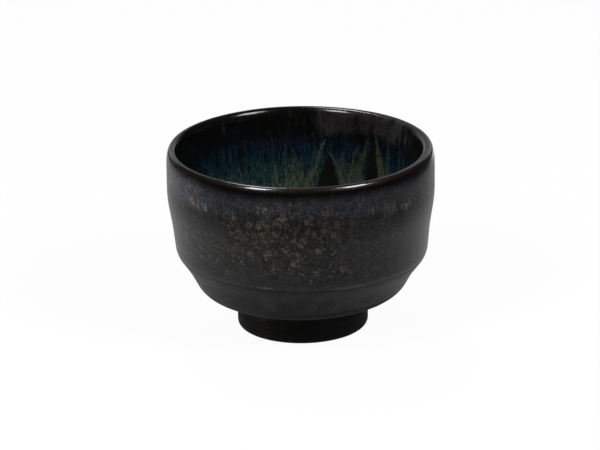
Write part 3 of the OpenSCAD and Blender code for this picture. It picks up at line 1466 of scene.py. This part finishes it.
@dataclass(frozen=True)
class CupOutline:
    """The cup's sizes over its glaze, and the runs of its turned outline."""

    cup_h: float
    rim_r: float
    foot_h: float
    foot_top_r: float
    lip_band_out: float
    lip_band_in: float
    pool_r: float
    lip_w: float = 2.6
    lip_outer_reach: Span = (4.5, 1.3)
    lip_inner_reach: Span = (1.2, 3.0)
    lip_steps: int = 40
    shoulder_rise: float = 7.6
    shoulder_r: float = 35.0
    waist_in: float = 1.2
    waist_rise: float = 7.6
    waist_r: float = 20.0
    edge_in: float = 2.0
    edge_rise: float = 10.8
    edge_r: float = 5.0
    bevel_w: float = 3.3
    bevel_h: float = 4.5
    crease_r: float = 24.0
    hip_in: float = 6.6
    hip_rise: float = 1.5
    hip_r: float = 7.0
    heel_wall: float = 4.1
    heel_floor: float = 4.0
    heel_r: float = 14.0
    floor_fall: float = 1.1
    foot_base_r: float = 17.2
    foot_collar: float = 1.0
    foot_wall: float = 3.8
    foot_edge_r: float = 1.3
    recess_depth: float = 5.0
    recess_r: float = 1.5
    coat_t: float = 0.5
    lining_proud: float = 0.5
    feather: float = 5.0
    level_give: float = 0.08
    pitch: float = 0.42

    @classmethod
    def from_frame(cls) -> "CupOutline":
        """Measures the cup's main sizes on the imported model.

        Returns:
            The outline at the model's size.
        """
        top = CAD_BOX[1].z / MM
        foot_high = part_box("foot_ring")[1] / MM
        return cls(
            cup_h=top,
            rim_r=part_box("outer_glaze")[1].x / MM,
            foot_h=foot_high.z,
            foot_top_r=foot_high.x,
            lip_band_out=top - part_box("outer_glaze")[1].z / MM,
            lip_band_in=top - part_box("rim_glaze")[0].z / MM,
            pool_r=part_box("well_glaze")[1].x / MM,
        )

    @property
    def foot_corner(self) -> Vector:
        """The hip's lower end, at the foot."""
        return Vector((self.foot_top_r, self.foot_h - self.coat_t))

    @property
    def hip_corner(self) -> Vector:
        """The hip's lower corner."""
        return Vector((self.rim_r - self.edge_in - self.hip_in, self.foot_h + self.hip_rise))

    @property
    def edge_corner(self) -> Vector:
        """The wall's lower edge."""
        return self.hip_corner + Vector((self.hip_in, self.edge_rise))

    @property
    def crease_corner(self) -> Vector:
        """The crease where the bevel meets the hip."""
        return self.edge_corner - Vector((self.bevel_w, self.bevel_h))

    @property
    def waist_corner(self) -> Vector:
        """The wall's waist."""
        return Vector((self.rim_r - self.waist_in, self.edge_corner.y + self.waist_rise))

    @property
    def shoulder_corner(self) -> Vector:
        """The height at which the wall stops flaring."""
        return Vector((self.rim_r, self.waist_corner.y + self.shoulder_rise))

    @property
    def lip_outer(self) -> Vector:
        """The lip's outer corner."""
        return Vector((self.rim_r, self.cup_h))

    @property
    def lip_inner(self) -> Vector:
        """The lip's inner corner."""
        return Vector((self.rim_r - self.lip_w, self.cup_h))

    @property
    def heel_corner(self) -> Vector:
        """The corner between the inner wall and the floor."""
        return Vector((self.edge_corner.x - self.heel_wall, self.foot_h + self.heel_floor))

    @property
    def floor_middle(self) -> Vector:
        """The middle of the floor."""
        return Vector((0.0, self.heel_corner.y - self.floor_fall))

    @staticmethod
    def _at_height(start: Vector, end: Vector, height: float) -> Station:
        """Finds a station on a straight stretch by its height."""
        share = (height - start.y) / (end.y - start.y)
        return Station(start.lerp(end, share), outward(start, end))

    def edge_arc(self) -> Run:
        """Rounds the wall's lower edge."""
        return rounded(self.crease_corner, self.edge_corner, self.waist_corner, self.edge_r, self.pitch / 2)

    def lip_curve(self) -> tuple[Run, Run]:
        """Rounds the lip's outer side.

        Returns:
            The stations on the wall's coat and those on the lip's coat, which share one.
        """
        curve = eased(
            self.shoulder_corner, self.lip_outer, self.lip_inner, self.lip_outer_reach, self.lip_steps
        )
        level = self.cup_h - self.lip_band_out
        split = sum(station.at.y < level for station in curve)
        return curve[: split + 1], curve[split:]

    def hip_run(self) -> Run:
        """Runs from the foot to the wall's lower edge."""
        return [
            Station(self.foot_corner, Vector((0.0, -1.0))),
            *rounded(self.foot_corner, self.hip_corner, self.crease_corner, self.hip_r, self.pitch),
            *rounded(self.hip_corner, self.crease_corner, self.edge_corner, self.crease_r, self.pitch),
            self.edge_arc()[0],
        ]

    def wall_run(self) -> Run:
        """Runs from the wall's lower edge to the lip's coat."""
        return [
            *self.edge_arc(),
            *rounded(self.edge_corner, self.waist_corner, self.shoulder_corner, self.waist_r, self.pitch),
            *rounded(self.waist_corner, self.shoulder_corner, self.lip_outer, self.shoulder_r, self.pitch),
            *self.lip_curve()[0],
        ]

    def lip_run(self) -> Run:
        """Runs over the lip."""
        return [
            *self.lip_curve()[1],
            *eased(self.lip_outer, self.lip_inner, self.heel_corner, self.lip_inner_reach, self.lip_steps),
            self._at_height(self.lip_inner, self.heel_corner, self.cup_h - self.lip_band_in),
        ]

    def lining_run(self) -> Run:
        """Runs from the lip's coat down to the pool."""
        floor_share = (self.heel_corner.x - self.pool_r) / self.heel_corner.x
        shore = self.heel_corner.lerp(self.floor_middle, floor_share)
        return [
            self.lip_run()[-1],
            *rounded(self.lip_inner, self.heel_corner, self.floor_middle, self.heel_r, self.pitch),
            Station(shore, outward(self.heel_corner, self.floor_middle)),
        ]

    def coat_section(self, run: Run) -> Run:
        """Makes the closed section of a coat of glaze.

        Args:
            run: The coat's run of the outline.

        Returns:
            The section, whose last station is its first again.
        """
        face = filled(run, self.pitch)
        back = [station.raised(-self.coat_t, 0.0) for station in reversed(run)]
        return [*face, *back, face[0]]

    def lining_section(self) -> Run:
        """Makes the section of the lining, which thins out over the lip's coat and sets level below."""
        run = self.lining_run()
        face = []
        gone = 0.0
        last = run[0]
        for station in filled(run, self.pitch):
            gone += (station.at - last.at).length
            last = station
            share = min(1.0, gone / self.feather)
            height = self.lining_proud * share * share * (3 - 2 * share)
            face.append(station.raised(height, max(self.level_give, 1 - station.out.y)))
        back = [station.raised(-self.coat_t, 0.0) for station in reversed(run)]
        return [*face, *back, face[0]]

    def pool_section(self) -> Run:
        """Makes the section of the pool, from the axis over its face and back to the axis."""
        shore = self.lining_run()[-1]
        up = Vector((0.0, 1.0))
        edge = shore.raised(self.lining_proud).at
        middle = Station(Vector((0.0, edge.y)), up)
        face = list(reversed(filled([Station(edge, up, 0.0), middle], self.pitch)))
        under = shore.raised(-self.coat_t, 0.0)
        bed = Station(self.floor_middle - up * self.coat_t, up, 0.0)
        return [*face, under, bed]

    def foot_section(self) -> Run:
        """Makes the section of the foot, from the axis under the recess and back to the axis."""
        recess_wall = self.foot_base_r - self.foot_wall
        roof = Vector((0.0, self.recess_depth))
        ceiling = Vector((recess_wall, self.recess_depth))
        inner_edge = Vector((recess_wall, 0.0))
        outer_edge = Vector((self.foot_base_r, 0.0))
        collar = Vector((self.foot_top_r, self.foot_h - self.foot_collar))
        top = Vector((self.foot_top_r, self.foot_h))
        run = [
            Station(roof, outward(roof, ceiling)),
            *rounded(roof, ceiling, inner_edge, self.recess_r, self.pitch),
            *rounded(ceiling, inner_edge, outer_edge, self.foot_edge_r, self.pitch),
            *rounded(inner_edge, outer_edge, collar, self.foot_edge_r, self.pitch),
            Station(collar, outward(outer_edge, collar)),
            Station(top, outward(collar, top), 0.0),
        ]
        worn = [Station(s.at, s.out, s.give * min(1.0, s.at.y / self.foot_edge_r)) for s in run]
        up = Vector((0.0, 1.0))
        return [*filled(worn, self.pitch), Station(Vector((0.0, self.foot_h)), up, 0.0)]


@dataclass(frozen=True)
class Throwing:
    """How far a turned surface strays from true, in mm."""

    wobble: float = 0.16
    wobble_pitch: float = 26.0
    ring: float = 0.035
    ring_pitch: float = 1.9
    ripple: float = 0.025
    ripple_pitch: float = 2.2
    ripple_stretch: float = 1.0
    lean: float = 0.0
    lean_level: float = 20.8
    swell: float = 0.0
    swell_radius: float = 33.6
    swell_level: float = 45.0
    seed: float = 7.0


class Wheel:
    """Turns sections about the axis with a Geometry Nodes tree."""

    SEGMENTS = 480
    SHARP_ANGLE = 38.0
    MERGE_REACH = 0.001 * MM
    RING_TURN = 0.6
    SIZES = (
        "wobble", "wobble_pitch", "ring", "ring_pitch", "ripple", "ripple_pitch", "lean", "lean_level",
        "swell", "swell_radius", "swell_level",
    )
    LEAN_REACH = 4.0 * MM
    LEAN_SOFT = 3.5 * MM
    SWELL_SOFT = 0.9 * MM
    SWELL_REACH = 9.0 * MM

    def __init__(self) -> None:
        """Builds the tree once, for every piece."""
        self.tree = self._tree()

    def _tree(self) -> bpy.types.NodeTree:
        """Builds the tree that turns a section and gives it a thrown surface.

        Returns:
            The Geometry Nodes tree.
        """
        tree = bpy.data.node_groups.new("turned_form", "GeometryNodeTree")
        face = tree.interface
        face.new_socket("Section", in_out="INPUT", socket_type="NodeSocketGeometry")
        face.new_socket("segments", in_out="INPUT", socket_type="NodeSocketInt")
        for name in (*self.SIZES, "ripple_stretch", "seed"):
            face.new_socket(name, in_out="INPUT", socket_type="NodeSocketFloat")
        face.new_socket("material", in_out="INPUT", socket_type="NodeSocketMaterial")
        face.new_socket("Geometry", in_out="OUTPUT", socket_type="NodeSocketGeometry")
        graph = Graph(tree)
        given = graph.node("NodeGroupInput")
        place, out, give, grid, around = self._turned(graph, given)
        stray = self._stray(graph, given, place, around) * give
        moved = graph.vector("ADD", place, graph.scaled(out, stray))
        moved = graph.vector("ADD", moved, graph.scaled(self._bent(graph, given, place, around), give))
        shape = graph.node("GeometryNodeSetPosition", None, {"Geometry": grid, "Position": moved}).out()
        closed = {"Geometry": shape, "Distance": self.MERGE_REACH}
        shape = graph.node("GeometryNodeMergeByDistance", None, closed).out()
        shape = graph.node("GeometryNodeSetShadeSmooth", None, {"Geometry": shape}).out()
        shape = graph.node("GeometryNodeRealizeInstances", None, {"Geometry": shape}).out()
        dressed = {"Geometry": shape, "Material": given.out("material")}
        shape = graph.node("GeometryNodeSetMaterial", None, dressed).out()
        graph.node("NodeGroupOutput", None, {"Geometry": shape})
        return tree

    @staticmethod
    def _turned(graph: Graph, given: Block) -> tuple[Wire, Wire, Wire, Wire, tuple[Wire, Wire]]:
        """Rolls a grid up about the axis, with a row for each station of the section.

        Args:
            graph: The tree's graph.
            given: The tree's inputs.

        Returns:
            Each point's place, its way out of the clay, its give, the grid, and the cosine
            and sine of its azimuth.
        """
        section = given.out("Section")
        counted = ("GeometryNodeAttributeDomainSize", {"component": "MESH"}, {"Geometry": section})
        count = graph.node(*counted).out("Point Count")
        sizes = {
            "Size X": 1.0,
            "Size Y": 1.0,
            "Vertices X": given.out("segments") + 1,
            "Vertices Y": count,
        }
        grid = graph.node("GeometryNodeMeshGrid", None, sizes).out("Mesh")
        flat_x, flat_y, _ = graph.split(graph.node("GeometryNodeInputPosition").out())
        angle = (flat_x + 0.5) * math.tau
        row = (flat_y + 0.5) * (count - 1)
        index = graph.node("FunctionNodeFloatToInt", {"rounding_mode": "ROUND"}, {0: row}).out()

        def sampled(kind: str, value: Wire) -> Wire:
            """Reads a value at the station of each point's row."""
            settings = {"data_type": kind, "domain": "POINT"}
            inputs = {"Geometry": section, "Value": value, "Index": index}
            return graph.node("GeometryNodeSampleIndex", settings, inputs).out()

        def named(kind: str, name: str) -> Wire:
            """Reads one of the section's own attributes."""
            return graph.node("GeometryNodeInputNamedAttribute", {"data_type": kind}, {"Name": name}).out()

        cosine = angle.math("COSINE")
        sine = angle.math("SINE")

        def turned(vector: Wire) -> Wire:
            """Turns a vector of the section's plane to the point's azimuth."""
            across, _, up = graph.split(vector)
            return graph.join(across * cosine, across * sine, up)

        place = turned(sampled("FLOAT_VECTOR", graph.node("GeometryNodeInputPosition").out()))
        out = turned(sampled("FLOAT_VECTOR", named("FLOAT_VECTOR", "out")))
        give = sampled("FLOAT", named("FLOAT", "give"))
        return place, out, give, grid, (cosine, sine)

    def _stray(self, graph: Graph, given: Block, place: Wire, around: tuple[Wire, Wire]) -> Wire:
        """Works out how far each point strays from the true form.

        Args:
            graph: The tree's graph.
            given: The tree's inputs.
            place: Each point's place.
            around: The cosine and sine of its azimuth.

        Returns:
            The distance out of the clay.
        """
        x, y, z = graph.split(place)
        radius = (x * x + y * y).math("SQRT")

        def field(vector: Wire, scale: Wire | float, detail: float) -> Wire:
            """Reads a noise from about -1 to 1."""
            settings = {"noise_dimensions": "4D"}
            inputs = {"Vector": vector, "W": given.out("seed"), "Scale": scale, "Detail": detail}
            return (graph.node("ShaderNodeTexNoise", settings, inputs).out(0) - 0.5) * 2

        wobble = field(place, 1 / given.out("wobble_pitch"), 1.0) * given.out("wobble")
        level = (z - radius) / given.out("ring_pitch")
        turned = graph.join(around[0] * self.RING_TURN, around[1] * self.RING_TURN, level)
        ring = field(turned, 1.0, 2.0) * given.out("ring")
        stretched = graph.join(x, y, z / given.out("ripple_stretch"))
        ripple = field(stretched, 1 / given.out("ripple_pitch"), 2.0) * given.out("ripple")
        return wobble + ring + ripple

    def _bent(self, graph: Graph, given: Block, place: Wire, around: tuple[Wire, Wire]) -> Wire:
        """Works out how far each point sinks with a leaning edge and moves in with a swollen lip.

        Args:
            graph: The tree's graph.
            given: The tree's inputs.
            place: Each point's place.
            around: The cosine and sine of its azimuth.

        Returns:
            The distance as a vector.
        """
        x, y, z = graph.split(place)
        level = given.out("lean_level")
        near = z.window(level - self.LEAN_REACH, level + self.LEAN_REACH, self.LEAN_SOFT)
        sink = near * around[0] * given.out("lean")
        edge = given.out("swell_radius")
        inside = 1 - (x * x + y * y).math("SQRT").rise(edge - self.SWELL_SOFT, edge)
        high = z.rise(given.out("swell_level") - self.SWELL_REACH, given.out("swell_level"))
        right = 0.5 + 0.5 * around[0]
        inwards = inside * high * right * right * given.out("swell")
        return graph.join(-(around[0] * inwards), -(around[1] * inwards), -sink)

    @staticmethod
    def _section_mesh(name: str, section: Run) -> bpy.types.Mesh:
        """Makes a mesh of points in the plane of the section.

        Args:
            name: The mesh's name.
            section: The stations, in order.

        Returns:
            The mesh, with each point's way out and give as attributes.
        """
        mesh = bpy.data.meshes.new(name)
        mesh.from_pydata([(s.at.x * MM, 0.0, s.at.y * MM) for s in section], [], [])
        mesh.attributes.new("out", "FLOAT_VECTOR", "POINT")
        mesh.attributes.new("give", "FLOAT", "POINT")
        for index, station in enumerate(section):
            mesh.attributes["out"].data[index].vector = (station.out.x, 0.0, station.out.y)
            mesh.attributes["give"].data[index].value = station.give
        return mesh

    def turn(self, name: str, section: Run, throwing: Throwing, finish: Finish) -> bpy.types.Object:
        """Turns a section into a finished piece.

        Args:
            name: The piece's name.
            section: The stations of its section, in order.
            throwing: How far its surface strays from true.
            finish: Its clay or glaze.

        Returns:
            The piece, as a plain mesh object at the origin.
        """
        blank = bpy.data.objects.new(f"{name}_section", self._section_mesh(name, section))
        bpy.context.scene.collection.objects.link(blank)
        modifier = blank.modifiers.new("turned_form", "NODES")
        modifier.node_group = self.tree
        values = {"segments": self.SEGMENTS, "material": finish.material()}
        values.update({size: getattr(throwing, size) * MM for size in self.SIZES})
        values.update({"ripple_stretch": throwing.ripple_stretch, "seed": throwing.seed})
        for socket in self.tree.interface.items_tree:
            if socket.in_out == "INPUT" and socket.name in values:
                modifier[socket.identifier] = values[socket.name]
        depsgraph = bpy.context.evaluated_depsgraph_get()
        mesh = bpy.data.meshes.new_from_object(blank.evaluated_get(depsgraph))
        blank.modifiers.clear()
        bpy.data.objects.remove(blank)
        self._settle(mesh)
        mesh.name = name
        piece = bpy.data.objects.new(name, mesh)
        bpy.context.scene.collection.objects.link(piece)
        return piece

    def _settle(self, mesh: bpy.types.Mesh) -> None:
        """Points a mesh's faces outwards and keeps its corners sharp."""
        shape = bmesh.new()
        shape.from_mesh(mesh)
        bmesh.ops.recalc_face_normals(shape, faces=shape.faces)
        shape.to_mesh(mesh)
        shape.free()
        mesh.set_sharp_from_angle(angle=math.radians(self.SHARP_ANGLE))


def seat(piece: bpy.types.Object, node: str) -> None:
    """Puts a piece in the place of a CAD node.

    Args:
        piece: The finished piece.
        node: The node that it stands for.
    """
    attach(piece, "root")
    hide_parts(node)
    LOG.info("%s: %d faces, for %s", piece.name, len(piece.data.polygons), node)


@dataclass
class ClayBody:
    """The thrown bowl, hidden under its glazes, and the carved foot."""

    outline: CupOutline
    wheel: Wheel
    foot_throwing: Throwing = Throwing(wobble=0.1, ring=0.07, ring_pitch=0.9, ripple=0.03, ripple_pitch=1.1)

    def build(self) -> None:
        """Dresses the bowl and turns the foot."""
        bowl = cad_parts["clay_bowl"]
        bowl.data.materials.clear()
        bowl.data.materials.append(StonewareClay().material())
        LOG.info("clay_bowl: dressed in stoneware")
        foot = self.wheel.turn("carved_foot", self.outline.foot_section(), self.foot_throwing, FootClay())
        seat(foot, "foot_ring")


@dataclass
class OuterCoats:
    """The glazes on the hip, the wall and the lip."""

    outline: CupOutline
    wheel: Wheel
    throwing: Throwing = Throwing(lean=0.4, swell=0.8)

    def build(self) -> None:
        """Turns the three coats."""
        coats = (
            ("hip_coat", self.outline.hip_run(), HipGlaze(), "hip_glaze", Slot.HIP),
            ("wall_coat", self.outline.wall_run(), WallGlaze(), "outer_glaze", Slot.WALL),
            ("lip_coat", self.outline.lip_run(), LipGlaze(), "rim_glaze", Slot.LIP),
        )
        for name, run, finish, node, slot in coats:
            section = self.outline.coat_section(run)
            seat(self.wheel.turn(name, section, self.throwing, finish), node)


@dataclass
class InnerCoats:
    """The streaked lining and the pool in the bottom."""

    outline: CupOutline
    wheel: Wheel
    lining_throwing: Throwing = Throwing(
        ring=0.02, ripple=0.07, ripple_pitch=1.6, ripple_stretch=7.0, swell=0.8
    )
    pool_throwing: Throwing = Throwing(wobble=0.05, ring=0.0, ripple=0.015, ripple_pitch=4.0)

    def build(self) -> None:
        """Turns the lining and the pool."""
        lining = self.wheel.turn(
            "lining_coat", self.outline.lining_section(), self.lining_throwing, LiningGlaze()
        )
        seat(lining, "inner_glaze")
        pool = self.wheel.turn("glaze_pool", self.outline.pool_section(), self.pool_throwing, PoolGlaze())
        seat(pool, "well_glaze")


@dataclass(frozen=True)
class Softbox:
    """A soft lamp: where it stands and how strong it is."""

    name: str
    place: tuple[float, float, float]
    width: float
    depth: float
    watts: float


@dataclass
class Studio:
    """The floor, the light and the camera."""

    floor_half: float = 6.0
    softboxes: tuple[Softbox, ...] = (
        Softbox("left_softbox", (-0.54, -0.60, 0.75), 0.3, 0.4, 7.0),
        Softbox("right_softbox", (0.66, -0.50, 0.72), 0.35, 0.4, 7.2),
        Softbox("back_softbox", (-0.17, 0.53, 0.93), 0.17, 0.32, 2.4),
    )
    front: Colour = (0.03, 0.03, 0.03, 1.0)
    backdrop: Colour = (0.6, 0.6, 0.6, 1.0)
    ceiling: Colour = (0.06, 0.06, 0.06, 1.0)
    pale_turn: float = 0.1
    pale_span: Span = (0.65, 0.95)
    gap_share: float = 0.4
    gap_span: Span = (0.05, 0.25)
    horizon_span: Span = (-0.02, 0.08)
    ceiling_span: Span = (0.35, 0.65)
    target: tuple[float, float, float] = (0.0, 0.0, 0.02702)
    elevation: float = 19.73
    distance: float = 0.9415
    focal_px: float = 3584.8
    shift_px: float = 1.62
    roll: float = 0.83
    image_width_px: int = 600
    sensor: float = 36.0

    def build(self) -> None:
        """Lays the floor, hangs the lamps and sets up the camera."""
        self._floor()
        self._world()
        for softbox in self.softboxes:
            self._lamp(softbox)
        self._camera()

    def _floor(self) -> None:
        """Lays a plain white floor under the cup."""
        half = self.floor_half
        mesh = bpy.data.meshes.new("studio_floor")
        corners = [(-half, -half, 0.0), (half, -half, 0.0), (half, half, 0.0), (-half, half, 0.0)]
        mesh.from_pydata(corners, [], [(0, 1, 2, 3)])
        mesh.materials.append(StudioFloor().material())
        floor = bpy.data.objects.new("studio_floor", mesh)
        bpy.context.scene.collection.objects.link(floor)

    def _world(self) -> None:
        """Makes a dim room that is pale behind the cup."""
        world = bpy.data.worlds.new("studio")
        world.use_nodes = True
        world.node_tree.nodes.clear()
        graph = Graph(world.node_tree)
        across, behind, up = graph.split(graph.node("ShaderNodeTexCoord").out("Generated"))
        pale = (behind - across * self.pale_turn).rise(*self.pale_span)
        pale = pale * (self.gap_share + (1 - self.gap_share) * abs(across).rise(*self.gap_span))
        low = graph.mix(pale * up.rise(*self.horizon_span), self.front, self.backdrop)
        colour = graph.mix(up.rise(*self.ceiling_span), low, self.ceiling)
        light = graph.node("ShaderNodeBackground", None, {"Color": colour, "Strength": 1.0}).out()
        graph.node("ShaderNodeOutputWorld", None, {"Surface": light})
        bpy.context.scene.world = world

    def _lamp(self, softbox: Softbox) -> None:
        """Hangs one lamp that faces the cup."""
        lamp = bpy.data.lights.new(softbox.name, "AREA")
        lamp.shape = "RECTANGLE"
        lamp.size = softbox.width
        lamp.size_y = softbox.depth
        lamp.energy = softbox.watts
        hung = bpy.data.objects.new(softbox.name, lamp)
        hung.location = softbox.place
        away = Vector(softbox.place) - Vector(self.target)
        hung.rotation_euler = away.to_track_quat("Z", "Y").to_euler()
        bpy.context.scene.collection.objects.link(hung)

    def _camera(self) -> None:
        """Sets the camera at the photograph's angle."""
        data = bpy.data.cameras.new("photo_camera")
        data.sensor_width = self.sensor
        data.lens = self.focal_px * self.sensor / self.image_width_px
        data.shift_x = -self.shift_px / self.image_width_px
        camera = bpy.data.objects.new("photo_camera", data)
        rise = math.radians(self.elevation)
        back = Vector((0.0, -math.cos(rise), math.sin(rise)))
        camera.location = Vector(self.target) + back * self.distance
        facing = back.to_track_quat("Z", "Y").to_matrix()
        level = Matrix.Rotation(math.radians(-self.roll), 3, "Z")
        camera.rotation_euler = (facing @ level).to_euler()
        bpy.context.scene.collection.objects.link(camera)
        bpy.context.scene.camera = camera


def main() -> None:
    """Builds the cup, its finishes and the studio."""
    logging.basicConfig(level=logging.INFO, format="%(name)s: %(message)s")
    bpy.context.scene.view_settings.view_transform = "Standard"
    outline = CupOutline.from_frame()
    wheel = Wheel()
    Studio().build()
    for part in (ClayBody(outline, wheel), OuterCoats(outline, wheel), InnerCoats(outline, wheel)):
        part.build()


if __name__ == "__main__":
    main()
